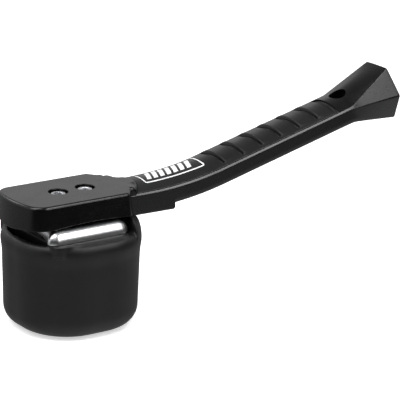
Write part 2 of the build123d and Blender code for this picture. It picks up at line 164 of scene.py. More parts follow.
def finish_normals(obj, angle=32):
    """Smooth shading that keeps the edges sharper than the angle, weighted by face area."""
    obj.data.shade_smooth()
    obj.data.set_sharp_from_angle(angle=radians(angle))
    weights = obj.modifiers.new("weights", "WEIGHTED_NORMAL")
    weights.keep_sharp = True
    return bake(obj)


# ---- outlines in plan: points with their outward normals ----

def arc(x, y, radius, start, end, step):
    count = max(3, int(abs(end - start) * radius / step) + 1)
    turn = np.linspace(start, end, count)
    normals = np.stack([np.cos(turn), np.sin(turn)], 1)
    return np.array([x, y]) + radius * normals, normals


def run(start, end, step=2.0):
    """Points strictly between two ends of a straight run, which has its outside on the right."""
    start, end = np.asarray(start), np.asarray(end)
    along = end - start
    length = np.hypot(*along)
    share = np.linspace(0, 1, max(2, int(length / step) + 1) + 1)[1:-1, None]
    normal = np.array([along[1], -along[0]]) / length
    return start + along * share, np.repeat(normal[None], len(share), 0)


def rounded_polygon(corners, radii, step=0.8, run_step=2.0):
    """Counter-clockwise polygon with rounded corners."""
    corners = np.asarray(corners, float)
    count = len(corners)
    arcs = []
    for i in range(count):
        before, here, after = corners[i - 1], corners[i], corners[(i + 1) % count]
        into = (here - before) / np.hypot(*(here - before))
        out = (after - here) / np.hypot(*(after - here))
        first = atan2(-into[0], into[1])
        turn = atan2(into[0] * out[1] - into[1] * out[0], into @ out)
        middle = here - into * radii[i] * tan(turn / 2) - np.array([into[1], -into[0]]) * radii[i]
        arcs.append(arc(*middle, radii[i], first, first + turn, step))
    parts = []
    for i in range(count):
        parts.append(arcs[i])
        parts.append(run(arcs[i][0][-1], arcs[(i + 1) % count][0][0], run_step))
    return np.concatenate([p[0] for p in parts]), np.concatenate([p[1] for p in parts])


def rectangle(x_from, x_to, half_width, radius, step=0.8, run_step=2.0):
    corners = [(x_from, -half_width), (x_to, -half_width), (x_to, half_width), (x_from, half_width)]
    return rounded_polygon(corners, [radius] * 4, step, run_step)


def wall(outline, profile):
    """Rings round an outline: profile holds (distance outwards, height) pairs."""
    points, normals = outline
    rings = []
    for out, z in profile:
        out, z = np.broadcast_to(out, len(points)), np.broadcast_to(z, len(points))
        rings.append(np.column_stack([points + normals * out[:, None], z]))
    return rings


def smooth_step(value):
    value = np.clip(value, 0, 1)
    return value * value * (3 - 2 * value)


def edge_drop(distance, radius):
    """How far a rounded edge has fallen at a distance inside its outline."""
    near = np.clip(radius - distance, 0, radius)
    return radius - np.sqrt(radius ** 2 - near ** 2)


# ---- the handle's path and sections ----

BEND_END = BEND_START + BEND_RADIUS * sin(TILT)


def place(x, y, height):
    """Points beside the edge line's point at x: y sideways, height square to the line."""
    x, y, height = np.broadcast_arrays(np.asarray(x, float), y, height)
    reach = np.clip(x - BEND_START, 0, BEND_END - BEND_START)
    lean = np.arcsin(reach / BEND_RADIUS)
    z = EDGE_Z + BEND_RADIUS * (1 - np.cos(lean)) + np.maximum(x - BEND_END, 0) * tan(TILT)
    return np.stack([x - height * np.sin(lean), y, z + height * np.cos(lean)], -1)


def crown(y):
    """Height of the handle's crowned top above its edge line."""
    return CROWN_RIM + CROWN_RISE * (1 - (np.asarray(y) / CROWN_HALF) ** 2)


def soft_polygon(corners, trims, bows, counts, corner_count=6):
    """Closed section of bowed edges with rounded corners, always the same number of points.

    A corner is a cubic curve whose handles are 0.39 of its chord, which is close to an arc.
    """
    corners = np.asarray(corners, float)
    count = len(corners)
    edges = []
    for i in range(count):
        start, end = corners[i], corners[(i + 1) % count]
        along = end - start
        length = np.hypot(*along)
        out = np.array([along[1], -along[0]]) / length
        t = np.linspace(trims[i] / length, 1 - trims[(i + 1) % count] / length, counts[i])[:, None]
        points = start + along * t + out * 4 * bows[i] * t * (1 - t)
        slopes = along + out * 4 * bows[i] * (1 - 2 * t)
        edges.append((points, slopes / np.linalg.norm(slopes, axis=1)[:, None]))
    parts = []
    u = np.linspace(0, 1, corner_count + 2)[1:-1, None]
    for i in range(count):
        points, slopes = edges[i]
        after, after_slopes = edges[(i + 1) % count]
        first, last = points[-1], after[0]
        pull = 0.39 * np.hypot(*(last - first))
        second, third = first + slopes[-1] * pull, last - after_slopes[0] * pull
        curve = (
            first * (1 - u) ** 3
            + second * 3 * u * (1 - u) ** 2
            + third * 3 * u ** 2 * (1 - u)
            + last * u ** 3
        )
        parts += [points, curve]
    return np.concatenate(parts)


def growth(x):
    """How far the section has grown into the pommel's hexagon, with a soft start."""
    first, start, soft = -0.3, 0.045, 0.05
    share = np.clip((x - FLARE_START) / FLARE_LENGTH, first, 1)

    def curve(s):
        return 0.5 * ((s - start) + np.sqrt((s - start) ** 2 + soft ** 2))

    grown = (curve(share) - curve(first)) / (curve(1.0) - curve(first))
    return float(max(grown, 0.0))


def handle_section(grown):
    """Section of the handle, grown by a share from the crowned grip to the hexagon."""
    def mix(a, b):
        return a + (b - a) * grown

    flat = HEX_HALF_WIDTH / 2
    top = mix(CROWN_HALF, flat), mix(CROWN_RIM, HEX_HALF_HEIGHT - HEX_DROP)
    side = mix(HALF_WIDTH, HEX_HALF_WIDTH), mix(CHAMFER_LOW, -HEX_DROP)
    low = mix(HALF_WIDTH, flat), mix(SIDE_LOW, -HEX_HALF_HEIGHT - HEX_DROP)
    corners = [top, (-top[0], top[1]), (-side[0], side[1]), (-low[0], low[1]), low, side]
    top_trim, side_trim, low_trim = mix(0.35, 1.5), mix(0.45, 1.3), mix(3.0, 1.4)
    trims = [top_trim, top_trim, side_trim, low_trim, low_trim, side_trim]
    crown_bow, belly = mix(CROWN_RISE, HEX_BOW), mix(BELLY_BOW, HEX_BOW)
    bows = [crown_bow, 0, 0, belly, 0, 0]
    return soft_polygon(corners, trims, bows, [61, 4, 10, 41, 10, 4])


def handle_skin():
    """Loft of the handle's sections, ending in a rounded edge and a shallow dish."""
    stations = np.concatenate([
        np.arange(HANDLE_START, BEND_START, 3.0),
        np.arange(BEND_START, BEND_END, 1.5),
        np.arange(BEND_END, FLARE_START - 10, 4.0),
        np.arange(FLARE_START - 10, FLARE_START + 12, 0.75),
        np.linspace(FLARE_START + 12.5, HANDLE_END - POMMEL_EDGE * cos(TILT), 12),
    ])
    rings = [place(x, *handle_section(growth(x)).T) for x in stations]
    middle = np.array([0, -HEX_DROP])
    last = handle_section(growth(stations[-1])) - middle
    for turn in np.linspace(0, pi / 2, 7)[1:]:
        shrink = 1 - POMMEL_EDGE * (1 - cos(turn)) / HEX_HALF_HEIGHT
        x = stations[-1] + POMMEL_EDGE * sin(turn) * cos(TILT)
        rings.append(place(x, *(last * shrink + middle).T))
    rounding = POMMEL_EDGE / HEX_HALF_HEIGHT
    for scale, depth in DISH:
        rings.append(place(HANDLE_END - depth, *(last * (scale - rounding) + middle).T))
    return loft("handle_moulding", rings)


def slab(name, xs, ys, top, bottom, shift=None):
    """Closed solid over a grid of stations and sideways places, wrapped on the handle's path."""
    grid_x, grid_y = np.meshgrid(xs, ys, indexing="ij")
    if shift is not None:
        grid_x = shift(grid_x, grid_y)
    rows, columns = grid_x.shape
    upper = place(grid_x, grid_y, top(grid_x, grid_y)).reshape(-1, 3)
    lower = place(grid_x, grid_y, bottom(grid_x, grid_y)).reshape(-1, 3)
    half = rows * columns
    faces = []
    for i in range(rows - 1):
        for j in range(columns - 1):
            a, b = i * columns + j, (i + 1) * columns + j
            faces.append((a, b, b + 1, a + 1))
            faces.append((half + a, half + a + 1, half + b + 1, half + b))
    rim = (
        list(range(columns))
        + [i * columns + columns - 1 for i in range(1, rows)]
        + [(rows - 1) * columns + j for j in range(columns - 2, -1, -1)]
        + [i * columns for i in range(rows - 2, 0, -1)]
    )
    for a, b in zip(rim, rim[1:] + rim[:1]):
        faces.append((a, b, half + b, half + a))
    return make_mesh(name, np.concatenate([upper, lower]), faces)


def level(height):
    """Flat surface for a slab."""
    return lambda x, y: height


def box(name, low, high):
    """Plain cutting block."""
    (x0, y0, z0), (x1, y1, z1) = low, high
    corners = [(x0, y0), (x1, y0), (x1, y1), (x0, y1)]
    return loft(name, [[(x, y, z) for x, y in corners] for z in (z0, z1)])


def lathe(name, x, profile, count=96):
    """Solid of revolution about an upright axis: profile holds (radius, height) pairs."""
    turn = np.linspace(0, 2 * pi, count, endpoint=False)
    rings = []
    for radius, z in profile:
        across, sideways = x + radius * np.cos(turn), radius * np.sin(turn)
        rings.append(np.column_stack([across, sideways, np.full(count, z)]))
    return loft(name, rings)


def upright_holes(radius, low, high, count):
    """Cutter for each screw's hole."""
    return [lathe("hole", x, [(radius, low), (radius, high)], count) for x in SCREW_XS]


# ---- head cover ----

def cover_outline():
    """Plan of the head cover at its top: arched nose, long sides, shoulders down to the neck."""
    nose_centre = NOSE_X + NOSE_ARC
    corner_y = COVER_HALF_WIDTH - NOSE_CORNER
    corner_x = nose_centre - sqrt((NOSE_ARC - NOSE_CORNER) ** 2 - corner_y ** 2)
    swing = atan2(corner_y, nose_centre - corner_x)
    slope = atan2(COVER_HALF_WIDTH - HALF_WIDTH, REAR_X - SHOULDER_X)
    trim = SHOULDER_RADIUS * tan(slope / 2)
    shoulder_x = SHOULDER_X - trim
    shoulder_y = SHOULDER_RADIUS - COVER_HALF_WIDTH
    shoulder_end = slope - pi / 2
    rear_trim = COVER_REAR_RADIUS * tan((pi / 2 - slope) / 2)
    rear_middle = (REAR_X - COVER_REAR_RADIUS, -HALF_WIDTH + rear_trim)
    parts = [
        arc(nose_centre, 0, NOSE_ARC, pi, pi + swing, 1.2),
        arc(corner_x, -corner_y, NOSE_CORNER, pi + swing, 1.5 * pi, 0.7),
        run((corner_x, -COVER_HALF_WIDTH), (shoulder_x, -COVER_HALF_WIDTH)),
        arc(shoulder_x, shoulder_y, SHOULDER_RADIUS, -pi / 2, shoulder_end, 0.4),
    ]
    rear_arc = arc(*rear_middle, COVER_REAR_RADIUS, shoulder_end, 0, 0.2)
    parts.append(run(parts[-1][0][-1], rear_arc[0][0], 1.5))
    parts.append(rear_arc)
    parts.append(run(rear_arc[0][-1], (REAR_X, 0.0), 3.0))
    points = np.concatenate([p[0] for p in parts])
    normals = np.concatenate([p[1] for p in parts])
    keep = np.r_[True, np.linalg.norm(np.diff(points, axis=0), axis=1) > 1e-6]
    points, normals = points[keep], normals[keep]
    mirror = np.array([1, -1])
    return (
        np.concatenate([points, [(REAR_X, 0.0)], points[:0:-1] * mirror]),
        np.concatenate([normals, [(1.0, 0.0)], normals[:0:-1] * mirror]),
    )


def head_cover():
    """Skirted cap with a rounded top edge, an arched lower edge and a hollow underside."""
    outline = cover_outline()
    x, y = outline[0].T
    chin = np.where(x < 0, smooth_step((CHIN_HALF - np.abs(y)) / CHIN_HALF), 0)
    arch = np.maximum(0, ARCH_HEIGHT * (1 - (x / ARCH_REACH) ** 2))
    bottom = COVER_BOTTOM + arch - CHIN_DROP * chin
    sharpened = smooth_step((x - REAR_X + SHARP_FROM) / SHARP_OVER)
    edge = TOP_EDGE - (TOP_EDGE - SHARP_EDGE) * sharpened
    lip, slope = COVER_LIP, tan(COVER_DRAFT)
    profile = [
        (-COVER_WALL, COVER_CEILING),
        (-COVER_WALL, COVER_CEILING - 0.05),
        (-COVER_WALL, bottom + lip),
    ]
    for turn in np.linspace(-pi, -pi / 2, 5)[1:]:
        profile.append((lip - COVER_WALL + lip * cos(turn), bottom + lip + lip * sin(turn)))
    spread = (COVER_TOP - bottom) * slope
    for turn in np.linspace(-pi / 2, -COVER_DRAFT, 6):
        profile.append((spread - lip + lip * cos(turn), bottom + lip + lip * sin(turn)))
    side_low, side_high = bottom + lip * 1.1, COVER_TOP - edge * 1.1
    for share in np.linspace(0, 1, 6)[1:-1]:
        z = side_low + (side_high - side_low) * share
        profile.append(((COVER_TOP - z) * slope, z))
    draft_at_edge = 0.095
    for turn in np.linspace(COVER_DRAFT, pi / 2, 11):
        out = edge * (cos(turn) - 1 + draft_at_edge * (1 - sin(turn)))
        profile.append((out, COVER_TOP - edge + edge * sin(turn)))
    return loft("head_cover", wall(outline, profile))


def tongue_tip(y):
    """Where the tongue's round end lies."""
    return TONGUE_TIP - TONGUE_RADIUS + np.sqrt(TONGUE_RADIUS ** 2 - np.asarray(y) ** 2)


def tongue():
    """Round-ended tongue that carries the cover's flat top down on to the handle's crown."""
    near = np.array([0, 0.05, 0.13, 0.25, 0.4, 0.6, 0.8])
    shares = np.concatenate([np.linspace(0, 0.92, 34), 1 - near[::-1] / 12])
    ys = np.concatenate([TONGUE_HALF - near, np.linspace(0, TONGUE_HALF - 1.2, 24)])
    ys = np.unique(np.round(np.concatenate([ys, -ys]), 4))

    def shift(share, y):
        return TONGUE_START + (tongue_tip(y) - TONGUE_START) * share

    def top(x, y):
        flat = COVER_TOP - EDGE_Z - TONGUE_SINK
        low = np.minimum(crown(y) + TONGUE_PROUD, flat)
        fall = smooth_step((x - TONGUE_FALL_START) / TONGUE_FALL)
        distance = np.minimum(TONGUE_HALF - np.abs(y), tongue_tip(y) - x)
        return flat + (low - flat) * fall - edge_drop(np.maximum(distance, 0), TONGUE_EDGE)

    return slab("tongue", shares, ys, top, level(TONGUE_LOW), shift)


def neck_block():
    """Square-ended block under the neck, rounded along its lower edge."""
    x_from, x_to, low, high = NECK
    outline = rectangle(x_from, x_to, HALF_WIDTH, 0.5, 0.2, 4.0)
    profile = []
    for turn in np.linspace(pi / 2, 0, 7):
        profile.append((-NECK_EDGE * (1 - cos(turn)), low + NECK_EDGE * (1 - sin(turn))))
    return loft("neck", wall(outline, profile + [(0, high)]))


def boss():
    """Block under the cover's ceiling, down to the plate."""
    return loft("boss", wall(rectangle(*BOSS), [(0, PLATE_TOP), (0, COVER_TOP - 4)]))


def hole_cutter():
    """Cutter for the hanging hole, square to the handle."""
    turn = np.linspace(0, 2 * pi, 72, endpoint=False)
    along = np.array([cos(TILT), 0, sin(TILT)])
    ring = HOLE_RADIUS * (np.outer(np.cos(turn), along) + np.outer(np.sin(turn), (0, 1, 0)))
    reach = 60.0
    return loft("hole", [place(HOLE_X, 0.0, height) + ring for height in (-reach, reach)])


def counterbore(x):
    """Cutter for a screw head's recess, with a rounded rim."""
    rim = COUNTERBORE_RIM
    profile = [(COUNTERBORE, WASHER_SEAT), (COUNTERBORE, COVER_TOP - rim)]
    for turn in np.linspace(0, pi / 2, 5)[1:]:
        profile.append((COUNTERBORE + rim * (1 - cos(turn)), COVER_TOP - rim + rim * sin(turn)))
    profile.append((COUNTERBORE + rim + 0.4, COVER_TOP + 0.4))
    return lathe("counterbore", x, profile)


def from_tip(gap):
    """Shift for a slab whose first stations, 0 to 1, run from the tongue's tip to a square line."""
    def shift(grid_x, grid_y):
        start = tongue_tip(grid_y) + gap
        return np.where(grid_x <= 1, start + (GRIP_SQUARE_X - start) * grid_x, grid_x)

    return shift


def grip_channel():
    """Cutter for the channel that holds the grip cover."""
    xs = np.concatenate([np.linspace(0, 1, 4), np.arange(52, GRIP_END, 1.5), [GRIP_END]])
    ys = np.linspace(-GRIP_HALF, GRIP_HALF, 25)
    above, overlap = 8.0, 0.02
    return slab("channel", xs, ys, level(above), level(GRIP_FLOOR), from_tip(-overlap))


def handle_moulding():
    """Cover, neck, handle and pommel as one solid, with its channel, bores and hole."""
    x_from, x_to, half, low, high = BAR
    bar = box("bar", (x_from, -half, low), (x_to, half, high))
    screws = upright_holes(CLEARANCE, COVER_BOTTOM - 4, COVER_TOP, 96)
    bores = [counterbore(x) for x in SCREW_XS]
    body = combine(
        handle_skin(),
        [head_cover(), neck_block(), boss(), tongue()],
        [grip_channel(), bar, *screws, *bores, hole_cutter()],
    )
    return finish_normals(body)


# ---- soft grip cover and label ----

def groove_depth(x, y):
    """Depth of the grooves: steep head side, rounded rear side, squared ends."""
    depth = np.zeros(np.shape(x))
    steep, soft = 0.5, 1.4
    ends = smooth_step((GROOVE_HALF + steep / 2 - np.abs(y)) / steep)
    for middle in GROOVES:
        front = smooth_step((x - middle + GROOVE_WIDTH / 2 + steep / 2) / steep)
        rear = smooth_step((middle + GROOVE_WIDTH / 2 + soft / 2 - x) / soft)
        depth = np.maximum(depth, np.minimum(front, rear) * ends * GROOVE_DEPTH)
    return depth


def groove_lift(x, y):
    """Low swell behind each groove, falling away towards the next."""
    lift = np.zeros(np.shape(x))
    early, reach, fade = 0.4, 7, 3
    for middle in GROOVES[:-1]:
        along = x - middle - GROOVE_WIDTH / 2 + early
        swell = np.where(along > 0, 1 - smooth_step(along / reach), 0)
        lift = np.maximum(lift, swell * GROOVE_LIFT)
    return lift * smooth_step((GROOVE_HALF + fade / 2 - np.abs(y)) / fade)


def label_inset(x, y):
    """Distance from the label's outline, positive inside it."""
    x_from, x_to, half, corner = LABEL
    dx = np.abs(x - (x_from + x_to) / 2) - (x_to - x_from) / 2 + corner
    dy = np.abs(y) - half + corner
    outside = np.hypot(np.maximum(dx, 0), np.maximum(dy, 0)) + np.minimum(np.maximum(dx, dy), 0)
    return corner - outside


def grip_cover():
    """Insert in the handle's top, with stations crowded at the walls of its grooves."""
    start_gap = 0.05
    pocket_edge, pocket_depth = 0.6, 0.35
    end = GRIP_END - GRIP_END_GAP
    half = GRIP_HALF - GRIP_GAP
    near = [0, 0.02, 0.05, 0.09, 0.14, 0.2]
    xs = [n / 10 for n in near] + list(np.linspace(0.1, 1, 6))
    xs += list(np.arange(51.5, GROOVES[0] - 4, 1.0))
    for i, middle in enumerate(GROOVES):
        for side in (-1, 1):
            wall_x = middle + side * GROOVE_WIDTH / 2
            xs += list(wall_x + np.linspace(-0.75, 0.75, 16))
        xs += list(np.linspace(middle - 1.4, middle + 1.4, 4))
        if i + 1 < len(GROOVES):
            xs += list(np.linspace(middle + 2.8, GROOVES[i + 1] - 2.8, 8))
    xs = [x for x in sorted(set(np.round(xs, 4))) if x < GRIP_END - GRIP_EDGE]
    xs += [end - n for n in reversed(near)]
    ys = [half - n for n in near] + list(np.arange(15.4, GROOVE_HALF + 0.6, -0.5))
    ys += list(GROOVE_HALF + np.linspace(-0.45, 0.45, 7))
    ys += list(np.arange(0, GROOVE_HALF - 0.6, 0.7))
    ys = sorted(set(np.round([*ys, *[-y for y in ys]], 4)))

    def top(x, y):
        start = tongue_tip(y) + start_gap
        distance = np.minimum(half - np.abs(y), np.minimum(x - start, end - x))
        inside = smooth_step((label_inset(x, y) - pocket_edge) / pocket_edge)
        rounded = crown(y) - edge_drop(distance, GRIP_EDGE)
        return rounded - groove_depth(x, y) + groove_lift(x, y) - inside * pocket_depth

    underside = GRIP_FLOOR + 0.04
    skin = slab("grip_skin", xs, ys, top, level(underside), from_tip(start_gap))
    return finish_normals(skin, 50)


def wrap(outline, profile):
    """Rings round an outline laid on the handle's crown: profile holds (inset, height) pairs."""
    points, normals = outline
    rings = []
    for inset, height in profile:
        flat = points - normals * inset
        rings.append(place(flat[:, 0], flat[:, 1], crown(flat[:, 1]) + height))
    return rings


def label_film():
    """Thin film with a soft rim and rounded corners, laid in the cover."""
    x_from, x_to, half, corner = LABEL
    rim = 0.14
    near = rim * np.array([0, 0.08, 0.25, 0.55, 1.0])
    length = 46
    shares = [near / length, np.linspace(0.01, 0.99, 48), 1 - near[::-1] / length]
    shares = np.concatenate(shares)
    ys = np.concatenate([half - near, half - corner * (1 - np.cos(np.linspace(0.45, pi / 2, 8)))])
    ys = np.concatenate([-ys, np.linspace(corner - half, half - corner, 21)[1:-1], ys[::-1]])

    def shift(share, y):
        over = np.clip(np.abs(y) - half + corner, 0, corner)
        cut = corner - np.sqrt(corner ** 2 - over ** 2)
        return x_from + cut + (x_to - x_from - 2 * cut) * share

    def top(x, y):
        return crown(y) + LABEL_PROUD - edge_drop(np.maximum(label_inset(x, y), 0), rim)

    film = slab("label_film", shares, np.sort(ys), top, lambda x, y: crown(y) - LABEL_DEPTH, shift)
    return finish_normals(film, 40)


def printed_frame():
    """White outline and slanted stripes printed on the film, as a plain stand-in for a badge."""
    high, low = LABEL_PROUD + PRINT_PROUD, LABEL_PROUD - PRINT_DEPTH
    outer, inner = FRAME_INSETS
    outline = rectangle(*LABEL, 0.25, 0.8)
    rings = wrap(outline, [(outer, low), (outer, high), (inner, high), (inner, low)])
    size = len(outline[0])
    faces = ring_faces(len(rings), size)
    last = (len(rings) - 1) * size
    for j in range(size):
        k = (j + 1) % size
        faces.append((last + j, last + k, k, j))
    ring = make_mesh("printed_frame", np.concatenate(rings), faces)

    def lean(grid_x, grid_y):
        return grid_x + STRIPE_SLANT * grid_y / STRIPE_HALF

    def top(x, y):
        return crown(y) + high

    def bottom(x, y):
        return crown(y) + low

    stripes = []
    ys = np.linspace(-STRIPE_HALF, STRIPE_HALF, 15)
    for i in range(STRIPES):
        start = STRIPE_START + STRIPE_PITCH * i
        xs = np.linspace(start, start + STRIPE_WIDTH, 4)
        stripes.append(slab("stripe", xs, ys, top, bottom, lean))
    return finish_normals(combine(ring, stripes), 40)


# ---- clamping plate, rubber block, screws ----

def plate_ring(inset, z):
    """Outline of the plate, drawn in by inset: cut and rounded corners, hollow nose end."""
    x_from, x_to, half, cut = PLATE
    x_from, x_to, half = x_from + inset, x_to - inset, half - inset
    cut -= PLATE_CUT_SHRINK * inset
    corners = [
        (x_from, cut - half), (x_from, half - cut), (x_from + cut, half), (x_to - cut, half),
        (x_to, half - cut), (x_to, cut - half), (x_to - cut, -half), (x_from + cut, -half),
    ]
    trim = 2.0 + 0.4 * inset / PLATE_TOP_RADIUS
    points = soft_polygon(corners, [trim] * 8, [PLATE_HOLLOW] + [0] * 7, [24, 2] * 4, 9)
    return np.column_stack([points, np.full(len(points), z)])


def clamping_plate():
    """Thick plate with a pillow-shaped rim and cut corners."""
    rings = [plate_ring(PLATE_CAP_INSET, PLATE_BOTTOM)]
    for turn in np.linspace(0, pi / 2, 5):
        inset = PLATE_LOW_RADIUS * (1 - sin(turn))
        rings.append(plate_ring(inset, PLATE_BOTTOM + PLATE_LOW_RADIUS * (1 - cos(turn))))
    for turn in np.linspace(0, pi / 2, 22):
        inset = PLATE_TOP_RADIUS * (1 - cos(turn))
        rings.append(plate_ring(inset, PLATE_TOP - PLATE_TOP_RADIUS * (1 - sin(turn))))
    rings.append(plate_ring(PLATE_CAP_INSET, PLATE_TOP))
    plate = loft("plate_rim", rings)
    holes = upright_holes(CLEARANCE, PLATE_BOTTOM - 2, PLATE_TOP + 2, 48)
    return finish_normals(combine(plate, (), holes), 40)


def rubber_profile(top, inset):
    """Side of the block: rounded foot, slight waist, swell, then a shoulder up to the top."""
    profile = [(-BLOCK_CAP_INSET, 0.0)]
    for turn in np.linspace(0, pi / 2, 15):
        out = -WALL_INSET - BOTTOM_RADIUS * (1 - sin(turn))
        profile.append((out, BOTTOM_RADIUS * (1 - cos(turn))))
    for share in np.linspace(0, 1, 12)[1:-1]:
        out = -WALL_INSET + (WALL_INSET - WAIST_INSET) * share
        profile.append((out, BOTTOM_RADIUS + (WAIST_Z - BOTTOM_RADIUS) * share))
    for share in np.linspace(0, 1, 14):
        out = -WAIST_INSET * (1 - smooth_step(share))
        profile.append((out, WAIST_Z + (BULGE_Z - WAIST_Z) * share))
    for turn in np.linspace(0, pi / 2, 16)[1:]:
        profile.append((-inset * (1 - cos(turn)), BULGE_Z + (top - BULGE_Z) * sin(turn)))
    return profile + [(-BLOCK_CAP_INSET, top)]


def rubber_block():
    """Moulded block: ledge under the plate, higher shoulder behind it, moat at the nose."""
    outline = rectangle(
        -RUBBER_HALF_LENGTH, RUBBER_HALF_LENGTH, RUBBER_HALF_WIDTH, RUBBER_CORNER, 1.0, 1.0
    )
    block = loft("rubber_body", wall(outline, rubber_profile(LEDGE_Z, LEDGE_INSET)))
    rear = loft("rear", wall(outline, rubber_profile(RUBBER_TOP, SHOULDER_INSET)))
    reach, high = 60, 80
    combine(rear, (), [box("front", (-reach, -reach, -5), (LEDGE_END, reach, high))])
    x_from, x_to, half, corner, top = PAD
    pad = loft("pad", wall(rectangle(x_from, x_to, half, corner), [(0, LEDGE_Z - 6), (0, top)]))
    slot_half = HALF_WIDTH + 1
    slot = box("slot", (LEDGE_END - 6, -slot_half, NECK_SLOT_Z), (reach, slot_half, high))
    moat = loft("moat", wall(outline, [(-MOAT_INSET, MOAT_Z), (-MOAT_INSET, high)]))
    combine(moat, (), [box("keep", (MOAT_END, -reach, 0), (reach, reach, high + 10))])
    combine(block, [rear, pad], [slot, moat])
    fine = block.modifiers.new("fine", "REMESH")
    fine.mode, fine.voxel_size = "VOXEL", VOXEL * MM
    relax = block.modifiers.new("relax", "SMOOTH")
    relax.factor, relax.iterations = RELAX_FACTOR, RELAX_STEPS
    bake(block)
    block.data.shade_smooth()
    return block


def hexagon_radius(turn, flats, twist):
    """Distance from a hexagon's centre to its side in each direction."""
    sector = (turn - twist) % (pi / 3) - pi / 6
    return flats / 2 / np.cos(sector)


def cap_screw(name, x, twist):
    """Socket cap screw: plain shank, knurled head with a bevelled rim, hexagonal socket."""
    count = 120
    turn = np.linspace(0, 2 * pi, count, endpoint=False)
    teeth = 0.07 * np.where(np.arange(count) % 2, 1.0, -1.0)
    hexagon = hexagon_radius(turn, SOCKET_FLATS, twist)
    rim = HEAD_RADIUS - 0.1
    profile = [
        (SHANK_RADIUS - 0.8, SHANK_LOW),
        (SHANK_RADIUS, SHANK_LOW + 0.8),
        (SHANK_RADIUS, HEAD_SEAT - 0.3),
        (SHANK_RADIUS + 0.3, HEAD_SEAT),
        (HEAD_RADIUS - 0.35, HEAD_SEAT),
        (rim, HEAD_SEAT + 0.25),
        (rim + teeth, HEAD_SEAT + 0.6),
        (rim + teeth, HEAD_TOP - 1.1),
        (rim, HEAD_TOP - 0.75),
        (HEAD_RADIUS - 0.12, HEAD_TOP - 0.45),
        (HEAD_RADIUS - 0.22, HEAD_TOP - 0.2),
        (HEAD_RADIUS - 0.4, HEAD_TOP - 0.05),
        (HEAD_RADIUS - 0.6, HEAD_TOP),
        (hexagon + 0.45, HEAD_TOP),
        (hexagon + 0.3, HEAD_TOP - 0.05),
        (hexagon + 0.1, HEAD_TOP - 0.25),
        (hexagon, HEAD_TOP - 0.5),
        (hexagon, HEAD_TOP - SOCKET_DEPTH),
        (hexagon * 0.5, HEAD_TOP - SOCKET_DEPTH - 0.35),
        (0.05, HEAD_TOP - SOCKET_DEPTH - 0.6),
    ]
    return finish_normals(lathe(name, x, profile, count), 35)


# ---- materials ----

class Nodes:
    """Short ways to write a material's node tree."""

    def __init__(self, name):
        self.material = bpy.data.materials.new(name)
        self.material.use_nodes = True
        self.tree = self.material.node_tree
        self.shader = self.tree.nodes["Principled BSDF"]
        self.place = self.add("ShaderNodeTexCoord").outputs["Object"]

    def add(self, kind, **values):
        node = self.tree.nodes.new(kind)
        for key, value in values.items():
            setattr(node, key, value)
        return node

    def link(self, output, socket):
        self.tree.links.new(output, socket)

    def noise(self, size_mm, detail=4.0, rough=0.55, stretch=None):
        """Noise whose features are about size_mm across."""
        node = self.add("ShaderNodeTexNoise")
        node.inputs["Scale"].default_value = 1 / (size_mm * MM)
        node.inputs["Detail"].default_value = detail
        node.inputs["Roughness"].default_value = rough
        source = self.place
        if stretch:
            mapping = self.add("ShaderNodeMapping")
            mapping.inputs["Scale"].default_value = stretch
            self.link(self.place, mapping.inputs["Vector"])
            source = mapping.outputs["Vector"]
        self.link(source, node.inputs["Vector"])
        return node.outputs["Fac"]

    def cells(self, size_mm):
        """Distance to the nearest of scattered points about size_mm apart."""
        node = self.add("ShaderNodeTexVoronoi")
        node.inputs["Scale"].default_value = 1 / (size_mm * MM)
        self.link(self.place, node.inputs["Vector"])
        return node.outputs["Distance"]

    def range(self, source, low, high, to_low, to_high):
        """Map low..high to to_low..to_high, held at the ends."""
        node = self.add("ShaderNodeMapRange")
        values = {"From Min": low, "From Max": high, "To Min": to_low, "To Max": to_high}
        for key, value in values.items():
            node.inputs[key].default_value = value
        self.link(source, node.inputs["Value"])
        return node.outputs["Result"]

    def math(self, operation, first, second):
        node = self.add("ShaderNodeMath", operation=operation)
        for socket, value in zip(node.inputs, (first, second)):
            if isinstance(value, (int, float)):
                socket.default_value = value
            else:
                self.link(value, socket)
        return node.outputs["Value"]

    def colours(self, source, dark, light):
        node = self.add("ShaderNodeMix", data_type="RGBA")
        node.inputs["A"].default_value = (*dark, 1)
        node.inputs["B"].default_value = (*light, 1)
        self.link(source, node.inputs["Factor"])
        return node.outputs["Result"]

    def bump(self, layers):
        """Chain of bumps: (height source, depth in mm, strength) each."""
        normal = None
        for source, depth_mm, strength in layers:
            node = self.add("ShaderNodeBump")
            node.inputs["Distance"].default_value = depth_mm * MM
            node.inputs["Strength"].default_value = strength
            self.link(source, node.inputs["Height"])
            if normal is not None:
                self.link(normal, node.inputs["Normal"])
            normal = node.outputs["Normal"]
        self.link(normal, self.shader.inputs["Normal"])

    def set(self, **values):
        """Set or link the shader's inputs, with underscores for the spaces in their names."""
        for key, value in values.items():
            socket = self.shader.inputs[key.replace("_", " ")]
            if hasattr(value, "links"):
                self.link(value, socket)
            else:
                socket.default_value = value


def moulded_plastic():
    """Satin glass-filled nylon: spark-eroded grain, flow marks, a few handling scuffs."""
    m = Nodes("black_nylon")
    flow = m.noise(18, 3)
    scuffs = m.range(m.noise(1.6, 3, 0.6, (0.25, 1.0, 1.0)), 0.6, 0.72, 0, 1)
    tone = m.colours(flow, (0.0012, 0.0012, 0.0013), (0.0026, 0.0026, 0.0028))
    rough = m.math("ADD", m.range(flow, 0.3, 0.7, 0.23, 0.28), m.math("MULTIPLY", scuffs, 0.05))
    m.set(Base_Color=tone, Roughness=rough, IOR=1.45)
    grain = m.noise(0.35, 3, 0.6)
    pits = m.range(m.cells(0.55), 0.0, 0.5, 0, 1)
    m.bump([(m.noise(9, 2), 0.05, 0.4), (grain, 0.012, 0.4), (pits, 0.01, 0.3)])
    return m.material


